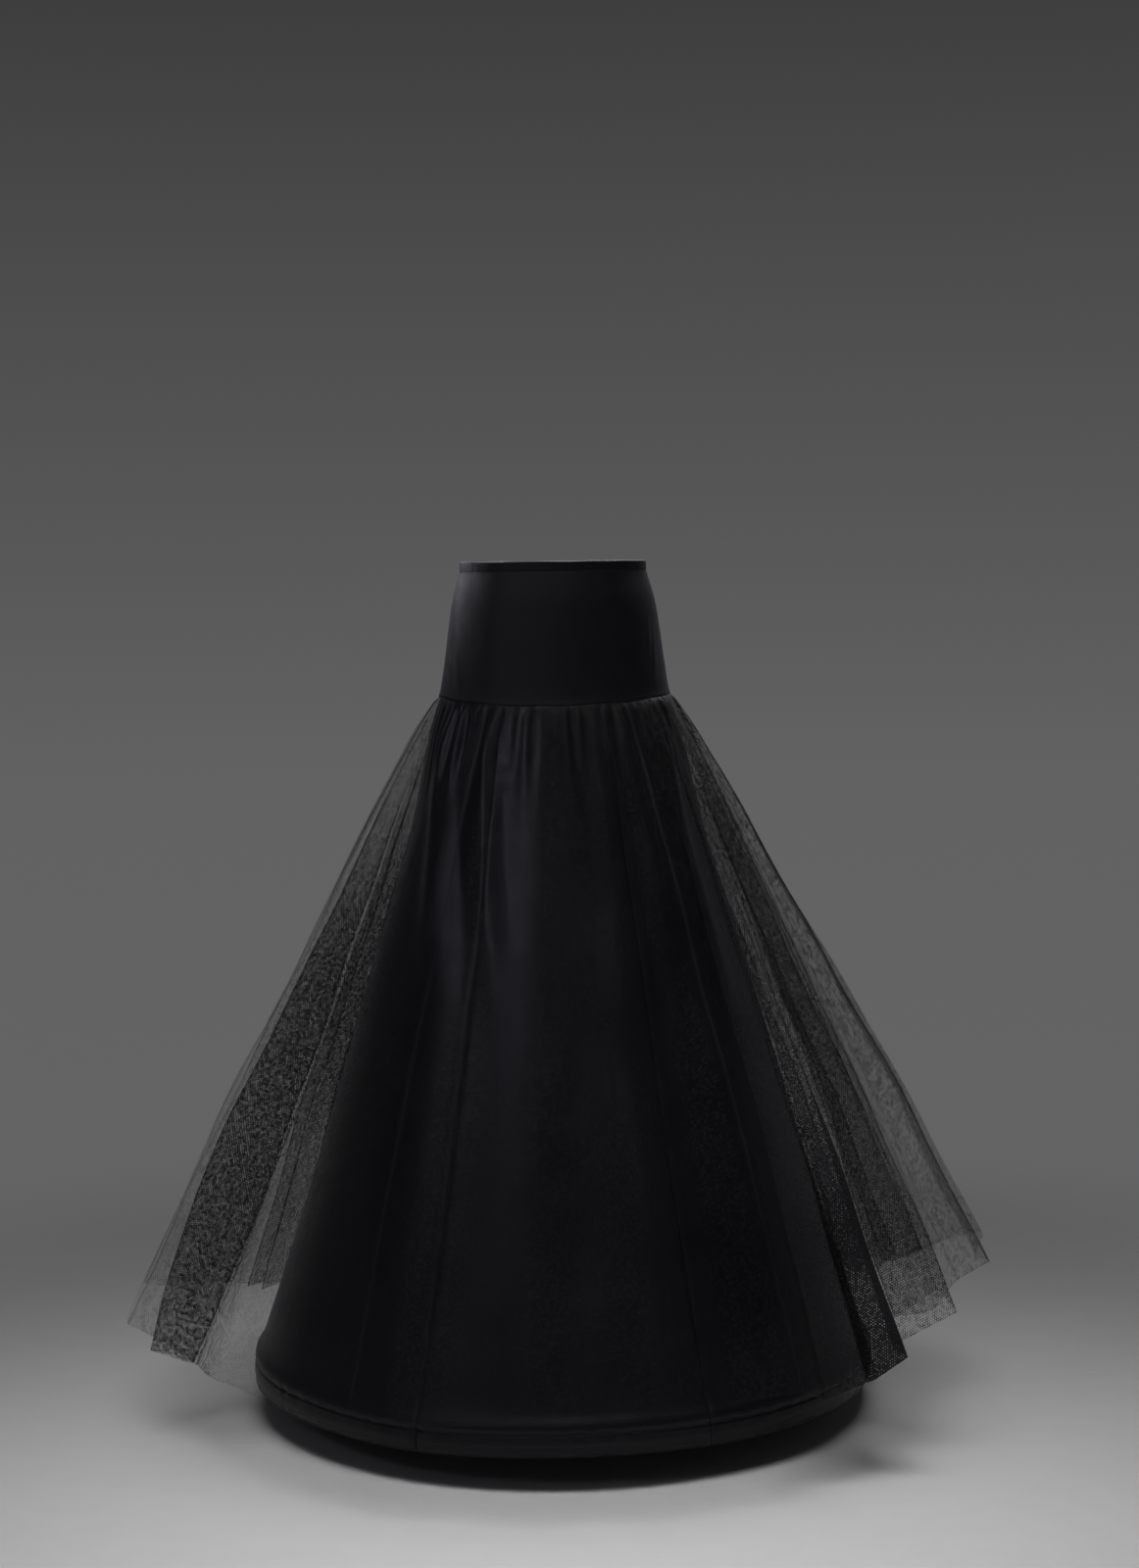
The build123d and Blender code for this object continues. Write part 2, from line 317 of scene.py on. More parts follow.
def net_material():
    """Stiff hexagonal net: real holes at a 3.1 mm pitch, no two quite alike, denser along seams and folds."""
    n = Nodes("crinoline_net")
    uv = n.uv()
    pitch = 0.0031
    p = n.vec("MULTIPLY", uv, (1 / pitch, 1 / pitch, 0.0))
    wander = n.add("ShaderNodeTexNoise", noise_dimensions="2D")
    wander.inputs["Scale"].default_value = 120.0
    wander.inputs["Detail"].default_value = 2.0
    n.link(uv, wander.inputs["Vector"])
    shift = n.vec("SUBTRACT", wander.outputs["Color"], (0.5, 0.5, 0.5))
    p = n.vec("MULTIPLY_ADD", shift, (0.35, 0.35, 0.0), p)
    r3 = math.sqrt(3.0)
    half = (0.5, r3 / 2, 1.0)
    low = (-0.5, -r3 / 2, -1.0)
    a = n.vec("WRAP", p, half, low)
    b = n.vec("WRAP", n.vec("ADD", p, (0.5, r3 / 2, 0.0)), half, low)
    nearer = n.math("LESS_THAN", n.vec("DOT_PRODUCT", a, a), n.vec("DOT_PRODUCT", b, b))
    cell = n.add("ShaderNodeMix", data_type="VECTOR")
    n.link(nearer, cell.inputs[0])
    n.link(b, cell.inputs[4])
    n.link(a, cell.inputs[5])
    g = n.vec("ABSOLUTE", cell.outputs[1])
    d = n.math("MAXIMUM", n.vec("DOT_PRODUCT", g, (0.5, r3 / 2, 0.0)), n.xyz(g)[0])
    # every hole has its own openness
    centre = n.vec("MULTIPLY", n.vec("SUBTRACT", p, cell.outputs[1]), (2.0, 2.0 / r3, 0.0))
    name = n.add("ShaderNodeVectorMath", operation="FLOOR")
    n.link(n.vec("ADD", centre, (0.5, 0.5, 0.5)), name.inputs[0])
    own = n.add("ShaderNodeTexWhiteNoise", noise_dimensions="2D")
    n.link(name.outputs[0], own.inputs["Vector"])
    broad = n.noise(uv, 11.0, 2.0, 0.5)
    loose = n.add("ShaderNodeAttribute", attribute_name="dense").outputs["Fac"]
    spread = n.math("MULTIPLY_ADD", n.math("MINIMUM", loose, 0.075), 1.8, 0.082)
    width = n.math("MULTIPLY_ADD", n.math("POWER", own.outputs["Value"], 1.8), spread, 0.019)
    width = n.math("MULTIPLY_ADD", loose, 0.35, width)
    # pleats laid on each other close evenly
    width = n.math("MULTIPLY_ADD", n.math("MAXIMUM", n.math("SUBTRACT", loose, 0.075), 0.0), 1.6, width)
    width = n.math("MULTIPLY_ADD", broad, 0.010, width)
    seam = n.add("ShaderNodeAttribute", attribute_name="seam").outputs["Fac"]
    width = n.math("MULTIPLY_ADD", seam, 0.15, width)
    start = n.math("SUBTRACT", 0.5, width)
    cover = n.ramp(d, n.math("SUBTRACT", start, 0.03), n.math("ADD", start, 0.03), 0.0, 0.97, "LINEAR")
    tone = n.mix_colour(broad, (0.0060, 0.0060, 0.0072, 1), (0.0100, 0.0098, 0.0116, 1))
    n.link(tone, n.bsdf.inputs["Base Color"])
    n.link(n.ramp(broad, 0.3, 0.7, 0.44, 0.56), n.bsdf.inputs["Roughness"])
    n.link(cover, n.bsdf.inputs["Alpha"])
    n.set(Specular_IOR_Level=0.22)
    return n.material


def plastic_material():
    n = Nodes("hoop_cover")
    at = n.add("ShaderNodeTexCoord").outputs["Object"]
    soft = n.noise(at, 120.0, 3.0, 0.5)
    n.link(n.mix_colour(soft, (0.62, 0.61, 0.57, 1), (0.72, 0.71, 0.68, 1)), n.bsdf.inputs["Base Color"])
    n.link(n.ramp(soft, 0.3, 0.7, 0.28, 0.42), n.bsdf.inputs["Roughness"])
    n.set(Specular_IOR_Level=0.5)
    n.bump(soft, 0.15, 0.0003)
    return n.material


def steel_material():
    n = Nodes("crimped_steel")
    at = n.add("ShaderNodeTexCoord").outputs["Object"]
    brushed = n.add("ShaderNodeMapping")
    brushed.inputs["Scale"].default_value = (40.0, 900.0, 1400.0)
    n.link(at, brushed.inputs["Vector"])
    lines = n.noise(brushed.outputs[0], 1.0, 3.0, 0.6)
    n.link(n.mix_colour(lines, (0.42, 0.42, 0.42, 1), (0.62, 0.62, 0.61, 1)), n.bsdf.inputs["Base Color"])
    n.link(n.ramp(lines, 0.3, 0.7, 0.25, 0.45), n.bsdf.inputs["Roughness"])
    n.set(Metallic=1.0)
    n.bump(lines, 0.2, 0.0001)
    return n.material


def elastic_material():
    n = Nodes("woven_elastic")
    at = n.add("ShaderNodeTexCoord").outputs["Object"]
    z = n.xyz(at)[2]
    ribs = n.math("SINE", n.math("MULTIPLY", z, 2 * math.pi / 0.0012))
    soft = n.noise(at, 300.0, 2.0, 0.5)
    n.link(n.mix_colour(soft, (0.014, 0.014, 0.016, 1), (0.024, 0.024, 0.026, 1)), n.bsdf.inputs["Base Color"])
    n.link(n.ramp(soft, 0.3, 0.7, 0.6, 0.72), n.bsdf.inputs["Roughness"])
    n.bump(ribs, 0.5, 0.0003)
    return n.material


KNIT, TAFFETA, TAPE, THREAD, TULLE = knit_material(), lining_material(), tape_material(), thread_material(), net_material()
for node, material in (("hem_hoop", plastic_material()), ("hoop_connector", steel_material()), ("waist_elastic", elastic_material())):
    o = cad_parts[node]
    if not o.material_slots:
        o.data.materials.append(material)
    for s in o.material_slots:
        s.material = material


# ---- yoke -------------------------------------------------------------------
CASING = 0.0045   # outside face to inside face of the turned-in casing
FOLD_R = CASING / 2


def yoke_path():
    """(inset from the outside, height) from the hip seam up the outside, over the top fold and down the inside."""
    up = [(0.0, z) for z in np.concatenate([np.linspace(-0.1762, -0.020, 66), np.linspace(-0.018, -FOLD_R, 14)])]
    over = [(FOLD_R - FOLD_R * math.cos(a), -FOLD_R + FOLD_R * math.sin(a)) for a in np.linspace(0, math.pi, 13)[1:-1]]
    down = [(CASING, z) for z in np.linspace(-FOLD_R, -0.0146, 10)]
    return np.array(up + over + down)


yoke_low = random_waves((2, 9), 0.0007, 5)
yoke_fine = random_waves((40, 90), 0.00022, 8)
edge_waves = random_waves((5, 17), 0.00035, 4)
seam_waves = random_waves((3, 13), 0.0012, 4)


def yoke_points(t, path):
    """Points of the yoke for angles t and path rows."""
    inset, z = path[:, 0][:, None], path[:, 1][:, None]
    turn = t[None, :] / (2 * np.pi)
    a = np.where(z > -0.014, 0.118, yoke_a(z))
    b = np.where(z > -0.014, 0.090, yoke_b(z))
    push = ripple(turn, yoke_low) * smooth(-0.02, -0.07, z) * smooth(-0.175, -0.13, z)
    # the casing is slightly puckered by its elastic, and pulled in along its stitching
    pucker = ripple(turn, yoke_fine) * np.exp(-((z + 0.010) / 0.010) ** 2)
    stitched = -0.00040 * np.exp(-((z + 0.0132) / 0.0011) ** 2) * (inset < 0.002)
    # faint pulls in the knit, slanting down from the right side
    pulls = 0.0
    for t0, z0, lean, wide, tall, size in ((-0.42, -0.120, 1.9, 0.050, 0.028, 0.0011), (-0.50, -0.100, 1.7, 0.040, 0.022, 0.0008),
                                           (-2.62, -0.135, -1.6, 0.050, 0.030, 0.0009), (-1.9, -0.150, -0.7, 0.09, 0.02, 0.0006),
                                           (0.55, -0.12, 1.5, 0.06, 0.03, 0.0009), (2.5, -0.13, -1.5, 0.06, 0.03, 0.0009)):
        along = (t[None, :] - t0) - lean * (z - z0)
        pulls = pulls + size * np.exp(-(along / wide) ** 2 - ((z - z0) / tall) ** 2)
    # the side seams lie in a shallow groove
    side = np.minimum(np.abs(np.sin(t[None, :] / 1.0)), 1.0) * 0.14
    groove = -0.0009 * np.exp(-(side / 0.0016) ** 2) + 0.0004 * np.exp(-((side - 0.004) / 0.0016) ** 2)
    groove = groove * smooth(-0.003, -0.016, z)
    # the hip seam rolls over the gathered edge below it
    roll = 0.0006 * np.exp(-((z + 0.1745) / 0.0030) ** 2)
    out = -inset + push + pucker + stitched + pulls + groove + roll
    zz = z + ripple(turn, edge_waves) * smooth(-0.03, 0.0, z) + (seam_rise(t[None, :]) + ripple(turn, seam_waves)) * smooth(-0.10, -0.172, z)
    x, y = (a + out) * np.cos(t[None, :]), (b + out) * np.sin(t[None, :])
    return np.stack([x, y, np.broadcast_to(zz, x.shape)], axis=-1)


path = yoke_path()
path_len = np.concatenate([[0], np.cumsum(np.hypot(*np.diff(path, axis=0).T))])
for name, start in (("front", -math.pi), ("back", 0.0)):
    # closer columns beside the side seams
    e = np.linspace(0, 1, 181)
    t = start + math.pi * (e - 0.055 * np.sin(2 * np.pi * e) / (2 * np.pi) * 6 * 0.5)
    p = yoke_points(t, path)
    width = np.concatenate([np.zeros((len(path), 1)), np.cumsum(np.linalg.norm(np.diff(p, axis=1), axis=2), axis=1)], axis=1)
    uv = np.stack([width - width[:, -1:] / 2, np.broadcast_to(path_len[:, None], width.shape)], axis=-1)
    o = grid_piece("yoke_" + name + "_panel", p, uv, KNIT)
    thicken(o, 0.0006)
    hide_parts("yoke_" + name)
    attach(o, "root")


# ---- lining skirt -----------------------------------------------------------
def lining_surface(t, z):
    """Outward offset of the lining's folds at angle t and height z, both arrays of one shape."""
    turn = t / (2 * np.pi)
    depth = -z - YOKE_H
    # long soft folds that start at the hip seam and run out towards the hoop
    body = smooth(0.0, 0.12, depth) * (1 - smooth(0.60, 0.81, depth))
    sway = 0.02 * np.sin(3.1 * z + 2 * t) + 0.012 * np.sin(7 * z - t)
    long_folds = ripple(turn + sway / (2 * np.pi), lining_waves)
    out = -0.0045 * body + body * long_folds
    # fine gathers just under the seam, fading within a hand's width
    near = smooth(0.002, 0.018, depth) * (1 - smooth(0.03, 0.16, depth))
    out = out + near * ripple(turn, lining_gathers)
    # a few single folds that show from the front: angle and drift, start and end, width, size
    for a0, drift, z0, z1, wide, size in LINING_FOLDS:
        centre = a0 + drift * smooth(z0, z1, z)
        live = smooth(z0 + 0.01, z0 - 0.05, z) * (1 - smooth(z1 + 0.18, z1, z))
        gap = np.angle(np.exp(1j * (t - centre)))
        out = out + size * live * np.exp(-(gap / wide) ** 2)
    return out


lining_waves = random_waves((5, 13), 0.0034, 5)
lining_gathers = random_waves((22, 58), 0.0014, 8)
D = math.radians
LINING_FOLDS = [
    (D(-151), D(20), -0.185, -0.55, D(6.0), 0.0075),
    (D(-136), D(16), -0.185, -0.55, D(4.0), -0.0045),
    (D(-122), D(13), -0.185, -0.58, D(5.0), 0.0095),
    (D(-66), D(2), -0.185, -0.60, D(5.5), 0.0030),
    (D(-50), D(-6), -0.185, -0.70, D(5.0), 0.0040),
    (D(-33), D(2), -0.185, -0.60, D(6.0), 0.0050),
    (D(60), D(6), -0.185, -0.60, D(6.0), 0.0060),
    (D(95), D(-8), -0.185, -0.65, D(6.0), 0.0060),
    (D(128), D(5), -0.185, -0.55, D(6.0), 0.0055),
]
hem_pucker = random_waves((60, 140), 0.0009, 10)
hem_low = random_waves((2, 7), 0.0030, 4)
FRONT_HALF = 26.0
LINING_GORES = [("front", -90 - FRONT_HALF, -90 + FRONT_HALF), ("front_right", -90 + FRONT_HALF, 0), ("back_right", 0, 90 - FRONT_HALF),
                ("back", 90 - FRONT_HALF, 90 + FRONT_HALF), ("back_left", 90 + FRONT_HALF, 180), ("front_left", 180, 270 - FRONT_HALF)]
lining_rows = np.concatenate([np.linspace(-0.1742, -0.26, 22), np.linspace(-0.266, -0.985, 104), np.linspace(-0.989, -1.003, 5),
                              np.linspace(-1.0045, -1.0340, 30)])
# the hem edge turns in under the hoop
HEM_TURN = [(0.0004, -1.0346), (0.0011, -1.0350), (0.0018, -1.0346)]


def hem_profile(z):
    """Outward offset near the hem: pulled in along the stitching, round over the hoop."""
    stitched = -0.0016 * np.exp(-((z + 1.0085) / 0.0017) ** 2) - 0.0010 * np.exp(-((z + 1.0325) / 0.0015) ** 2)
    hoop = 0.0012 * np.exp(-((z + 1.0200) / 0.0062) ** 2)
    return stitched + hoop


def lining_points(t, z, inset):
    """Grid of points: t per column, z and inset per row."""
    tt, zz = np.meshgrid(t, z)
    a, b = lining_a(zz), lining_b(zz)
    turn = tt / (2 * np.pi)
    out = lining_surface(tt, zz) + hem_profile(zz) - inset[:, None]
    out = out + ripple(turn, hem_pucker) * (np.exp(-((zz + 1.0085) / 0.006) ** 2) + 0.6 * np.exp(-((zz + 1.031) / 0.004) ** 2))
    low = smooth(-0.80, -1.00, zz)
    out = out + 0.35 * low * ripple(turn, hem_low)
    out = out - 0.0006 * (1 - smooth(-0.176, -0.19, zz))
    dz = low * ripple(turn + 0.13, hem_low) * 0.8
    dz = dz + (seam_rise(tt) + ripple(turn, seam_waves)) * smooth(-0.30, -0.176, zz)
    return np.stack([(a + out) * np.cos(tt), (b + out) * np.sin(tt), zz + dz], axis=-1)


rows_z = np.concatenate([lining_rows, [z for _, z in HEM_TURN]])
rows_in = np.concatenate([np.zeros(len(lining_rows)), [i for i, _ in HEM_TURN]])
for name, start, end in LINING_GORES:
    cols = int(round((end - start) / 360 * 470))
    e = np.linspace(0, 1, cols + 1)
    # a close column on each side of the seams
    e = np.sort(np.concatenate([e, [0.004, 0.010, 0.990, 0.996]]))
    t = np.radians(start + (end - start) * e)
    p = lining_points(t, rows_z, rows_in)
    # the seam sits in a groove, with the slightest puckering along it
    reach = np.minimum(e, 1 - e)[None, :] * np.radians(end - start) * np.hypot(p[..., 0], p[..., 1])
    dip = -0.0012 * np.exp(-(reach / 0.0022) ** 2) + 0.0004 * np.exp(-((reach - 0.007) / 0.004) ** 2)
    dip = dip + 0.0003 * np.exp(-(reach / 0.016) ** 2) * np.sin(rows_z[:, None] * 2 * np.pi / 0.031 + 3 * np.sin(rows_z[:, None] * 23)) * smooth(-0.18, -0.25, rows_z)[:, None]
    away = p[..., :2] / np.linalg.norm(p[..., :2], axis=-1, keepdims=True)
    p[..., :2] += away * (dip * smooth(-0.1745, -0.19, rows_z)[:, None])[..., None]
    width = np.concatenate([np.zeros((len(rows_z), 1)), np.cumsum(np.linalg.norm(np.diff(p, axis=1), axis=2), axis=1)], axis=1)
    mid = p[:, p.shape[1] // 2]
    length = np.concatenate([[0], np.cumsum(np.linalg.norm(np.diff(mid, axis=0), axis=1))])
    uv = np.stack([width - width[:, -1:] / 2, np.broadcast_to(-length[:, None], width.shape)], axis=-1)
    o = grid_piece("lining_" + name + "_gore", p[::-1], uv[::-1], TAFFETA)
    thicken(o, 0.0004)
    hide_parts("lining_" + name)
    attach(o, "root")


# ---- hoop channel tape inside the hem ---------------------------------------
t = np.linspace(0, 2 * np.pi, 480, endpoint=False)
tape_path = [(0.3935 - 0.0004, -1.0062), (0.3935 - 0.0005, -1.0078), (0.3935 - 0.0009, -1.0096), (0.3905, -1.0116), (0.3892, -1.0134), (0.3888, -1.0160),
             (0.3887, -1.0205), (0.3888, -1.0250), (0.3893, -1.0276), (0.3906, -1.0298), (0.3926, -1.0314), (0.3931, -1.0328), (0.3931, -1.0342)]
tape_r = pchip(np.arange(len(tape_path)), [r for r, _ in tape_path])(np.linspace(0, len(tape_path) - 1, 37))
tape_z = pchip(np.arange(len(tape_path)), [-z for _, z in tape_path])(np.linspace(0, len(tape_path) - 1, 37)) * -1
tt, rr = np.meshgrid(t, tape_r)
_, zz = np.meshgrid(t, tape_z)
wob = ripple(tt / (2 * np.pi), hem_pucker) * 0.7
low = ripple(tt / (2 * np.pi), hem_low) * 0.35
rr = rr + np.minimum(wob * np.exp(-((zz + 1.0085) / 0.006) ** 2), 0.0003) - 0.0014 * np.exp(-((zz + 1.0075) / 0.002) ** 2) + low - 0.0006
zz = zz + ripple(tt / (2 * np.pi) + 0.13, hem_low) * 0.8
p = np.stack([rr * np.cos(tt), rr * np.sin(tt), zz], axis=-1)
run = np.concatenate([[0], np.cumsum(np.hypot(np.diff(tape_r), np.diff(tape_z)))])
uv = np.stack([tt * 0.39, np.broadcast_to(run[:, None], tt.shape)], axis=-1)
tape = grid_piece("hoop_channel_tape", p, uv, TAPE, closed=True)
thicken(tape, 0.0005)
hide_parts("hoop_casing")
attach(tape, "root")


# ---- net overskirt ----------------------------------------------------------
# Folds of the stiff net at its hem, run round from the right side by the front. Each corner: angle in degrees from +X,
# how far in from the outermost line, the angle at the hip seam that the same thread comes from, how far the hem is lifted
# there, how hard the fold is pressed (0 soft to 1 knife edge), and how far it bellies out between seam and hem.
NET_FOLDS = [
    # right side towards the front
    (-2, 0.000, -1.0, 0.002, 1.0, 0), (-5, 0.047, -4.0, 0.004, 0.6, 0), (-17, 0.066, -6.0, 0.004, 0.7, 0), (-37, 0.068, -22.0, 0.044, 0.8, 0),
    (-24, 0.050, -14.0, 0.040, 0.8, 0), (-31, 0.002, -10.0, 0.018, 1.0, 0),
    (-35.5, 0.040, None, 0.014, 0.5, 0), (-38, 0.064, -25.0, 0.008, 0.9, 0), (-44.5, 0.001, -33.0, -0.001, 1.0, 0), (-47, 0.030, None, -0.016, 1.0, 0),
    (-46, 0.052, None, -0.018, 0.7, 0), (-50, 0.016, -38.0, -0.014, 1.0, 0), (-54, 0.052, -43.0, -0.020, 0.8, 0),
    # front
    (-62, 0.006, -55.0, 0.0, 0.3, 0), (-70, 0.034, -65.0, 0.0, 0.1, 0), (-79, 0.004, -76.0, 0.0, 0.2, 0), (-87, 0.032, -86.0, 0.0, 0.1, 0),
    (-96, 0.005, -97.0, 0.0, 0.2, 0), (-105, 0.034, -107.0, 0.0, 0.1, 0), (-113, 0.004, -117.0, 0.0, 0.2, 0), (-121, 0.034, -126.0, 0.0, 0.2, 0),
    # left side
    (-129, 0.030, -131.0, 0.0, 0.1, 0), (-138, 0.048, -136.0, 0.006, 0.2, 0), (-147, 0.050, None, 0.008, 0.5, 0), (-157, 0.058, -146.0, 0.008, 1.0, -0.014),
    (-161, 0.030, None, -0.001, 0.4, 0), (-164, 0.009, -166.0, -0.009, 1.0, 0.020), (-166, 0.070, -156.0, -0.006, 0.9, -0.020), (-171, -0.011, -174.0, -0.003, 0.7, 0),
    (-178, -0.010, -178.0, 0.004, 0.2, 0), (-186, -0.010, -181.0, 0.008, 1.0, 0), (-196, 0.014, -187.0, -0.008, 0.4, 0), (-214, 0.036, -202.0, -0.040, 0.9, 0),
    (-209.5, 0.034, -197.0, -0.038, 0.9, 0), (-220, 0.036, -209.0, -0.050, 0.9, 0), (-211.5, 0.042, -203.0, -0.046, 0.8, 0), (-227, 0.034, -217.0, -0.036, 0.9, 0),
    (-217, 0.046, -211.0, -0.044, 0.8, 0), (-233, 0.030, -226.0, -0.016, 0.8, 0), (-225, 0.058, -221.0, -0.030, 0.7, 0),
    # back
    (-240, 0.010, -234.0, -0.008, 0.6, 0), (-244, 0.050, -240.0, 0.0, 0.5, 0), (-249, 0.004, -247.0, 0.0, 0.6, 0), (-255, 0.054, -255.0, 0.0, 0.5, 0),
    (-263, 0.006, -263.0, 0.0, 0.6, 0), (-271, 0.050, -271.0, 0.0, 0.4, 0), (-279, 0.005, -279.0, 0.0, 0.7, 0), (-287, 0.056, -287.0, 0.0, 0.5, 0),
    (-296, 0.006, -295.0, -0.010, 0.7, 0),
    # right side towards the back
    (-303, 0.050, -302.0, -0.030, 0.7, 0), (-316, 0.022, -312.0, -0.060, 0.9, 0), (-309, 0.042, -308.0, -0.062, 0.9, 0), (-324, 0.026, -322.0, -0.084, 0.9, 0),
    (-315, 0.048, -317.0, -0.070, 0.9, 0), (-331, 0.020, -330.0, -0.054, 0.9, 0), (-322, 0.050, -326.0, -0.084, 0.9, 0), (-338, 0.020, -340.0, -0.030, 0.9, 0),
    (-331, 0.052, -336.0, -0.048, 0.9, 0), (-343, 0.030, -348.0, -0.010, 0.8, 0), (-352, -0.013, -354.0, 0.010, 0.5, 0), (-357, 0.016, -358.0, 0.006, 0.6, 0),
]

# where the threads lie closer together or further apart than the mean: hem angle of the fold (first to last), then how
# much near the hip seam, half way down and towards the hem
NET_DENSE = [
    (-2, 0.058, 0.042, 0.018), (-26, 0.058, 0.038, 0.020), (-37, 0.058, 0.038, 0.034), (-39.5, 0.058, 0.032, 0.21), (-45, 0.058, 0.030, 0.21),
    (-48, 0.058, 0.028, 0.12), (-54, 0.058, 0.026, 0.12), (-60, 0.012, 0.002, 0.0), (-125, 0.004, 0.002, 0.0),
    (-138, 0.012, 0.058, -0.014), (-147, 0.002, 0.068, -0.014), (-155, -0.006, 0.072, 0.060), (-166, -0.006, 0.072, 0.064), (-169, -0.010, 0.050, 0.024),
    (-174, -0.014, -0.012, -0.018), (-186, -0.014, -0.012, -0.018), (-192, -0.010, 0.010, -0.014), (-210, 0.010, 0.066, 0.016), (-230, 0.020, 0.070, 0.018),
    (-260, 0.030, 0.010, 0.0), (-300, 0.058, 0.038, 0.010), (-358, 0.058, 0.042, 0.014),
]


def net_hem(angle, inset):
    """Hem points for angles in radians and insets."""
    z = -0.930 + 0.0455 * 0.545 * np.cos(angle) + 0.0385 * 0.525 * np.sin(angle)
    z = z - 0.42 * inset
    zc = np.clip(z + 0.42 * inset, -0.974, -0.2)
    x = net_shift(zc) + (net_a(zc) - inset) * np.cos(angle)
    y = (net_b(zc) - inset) * np.sin(angle)
    return np.stack([x, y, z], axis=-1)


def eased(line, sigma):
    """A closed line of points, one every millimetre or so, smoothed over sigma points."""
    k = np.arange(-4 * sigma, 4 * sigma + 1)
    g = np.exp(-0.5 * (k / sigma) ** 2)
    g /= g.sum()
    n = len(line)
    wrapped = np.concatenate([line[(np.arange(-4 * sigma, 0)) % n], line, line[np.arange(4 * sigma) % n]])
    return np.stack([np.convolve(wrapped[:, c], g, mode="valid") for c in range(line.shape[1])], axis=-1)


corners = net_hem(np.radians([f[0] for f in NET_FOLDS]), np.array([f[1] for f in NET_FOLDS]))
corners[:, 2] += np.array([f[3] for f in NET_FOLDS])
hardness = np.array([f[4] for f in NET_FOLDS])
line, hard, marks = [], [], []
for i in range(len(corners)):
    j = (i + 1) % len(corners)
    steps = max(int(round(np.linalg.norm(corners[j] - corners[i]) / 0.001)), 3)
    u = np.linspace(0, 1, steps, endpoint=False)[:, None]
    marks.append(sum(len(k) for k in line))
    line.append(corners[i] * (1 - u) + corners[j] * u)
    hard.append((hardness[i] * (1 - u) + hardness[j] * u)[:, 0])
line, hard = np.concatenate(line), np.concatenate(hard)
sharp, middling, mild = eased(line, 3), eased(line, 9), eased(line, 20)
m = np.clip(hard, 0, 1)[:, None]
hem_dense = np.where(m > 0.5, middling + (sharp - middling) * (2 * m - 1), mild + (middling - mild) * (2 * m))
hem_dense = np.concatenate([hem_dense, hem_dense[:1]])
arc = np.concatenate([[0], np.cumsum(np.linalg.norm(np.diff(hem_dense, axis=0), axis=1))])
net_hem_length = float(arc[-1])
hem_angle = np.unwrap(np.arctan2(hem_dense[:, 1], hem_dense[:, 0] - 0.013))
hem_angle = np.degrees(hem_angle - hem_angle[0]) + NET_FOLDS[0][0]
top_keys = [(arc[marks[i]], f[2]) for i, f in enumerate(NET_FOLDS) if f[2] is not None]
top_of = pchip([k for k, _ in top_keys] + [arc[-1]], [v for _, v in top_keys] + [NET_FOLDS[0][2] - 360.0])
creases = [(arc[marks[i]] / net_hem_length, f[4]) for i, f in enumerate(NET_FOLDS) if f[4] >= 0.6]
belly_of = pchip([arc[k] for k in marks] + [arc[-1]], [f[5] for f in NET_FOLDS] + [NET_FOLDS[0][5]])
belly_shape = pchip([0.0, 0.3, 0.55, 0.75, 0.9, 1.0], [0.0, 0.35, 0.8, 1.0, 0.55, 0.0])
wide_angle = np.minimum.accumulate(hem_angle)
dense_angles = [-r[0] for r in NET_DENSE]
dense_curves = [pchip(dense_angles, [r[c] for r in NET_DENSE]) for c in (1, 2, 3)]


def net_dense(w):
    """Extra thread cover for shares w of the hem's length (columns) at S_ROWS (rows)."""
    a = -np.interp(w * net_hem_length, arc, wide_angle)
    top, mid, low = (c(a)[None, :] for c in dense_curves)
    s = S_ROWS[:, None]
    upper, lower = smooth(0.10, 0.46, s), smooth(0.46, 0.88, s)
    return top + (mid - top) * upper + (low - mid) * lower


# how far the hanging net bulges beyond straight lines from the seam to the hem
bulge = pchip([0.0, 0.012, 0.09, 0.23, 0.48, 0.65, 0.83, 0.96, 1.0], [0.0, 0.0035, 0.0085, 0.011, 0.0105, 0.0125, 0.0073, 0.002, 0.0])

# gathers that start at the hip seam; waves over one turn of the cloth
gather_fine = random_waves((70, 130), 0.0016, 9)
gather_soft = random_waves((26, 58), 0.0030, 7)
crumple = [(float(rng.uniform(0.6, 2.6) * s), float(rng.uniform(0.8, 3.5)), float(rng.uniform(0, 6.28)), float(rng.uniform(0.4, 1.0)))
           for s in rng.choice([-1, 1], 14)]
hem_uneven = random_waves((9, 40), 0.0030, 8)
S_ROWS = np.concatenate([np.linspace(0, 0.03, 7)[:-1], np.linspace(0.03, 0.2, 26)[:-1], np.linspace(0.2, 1.0, 88)])


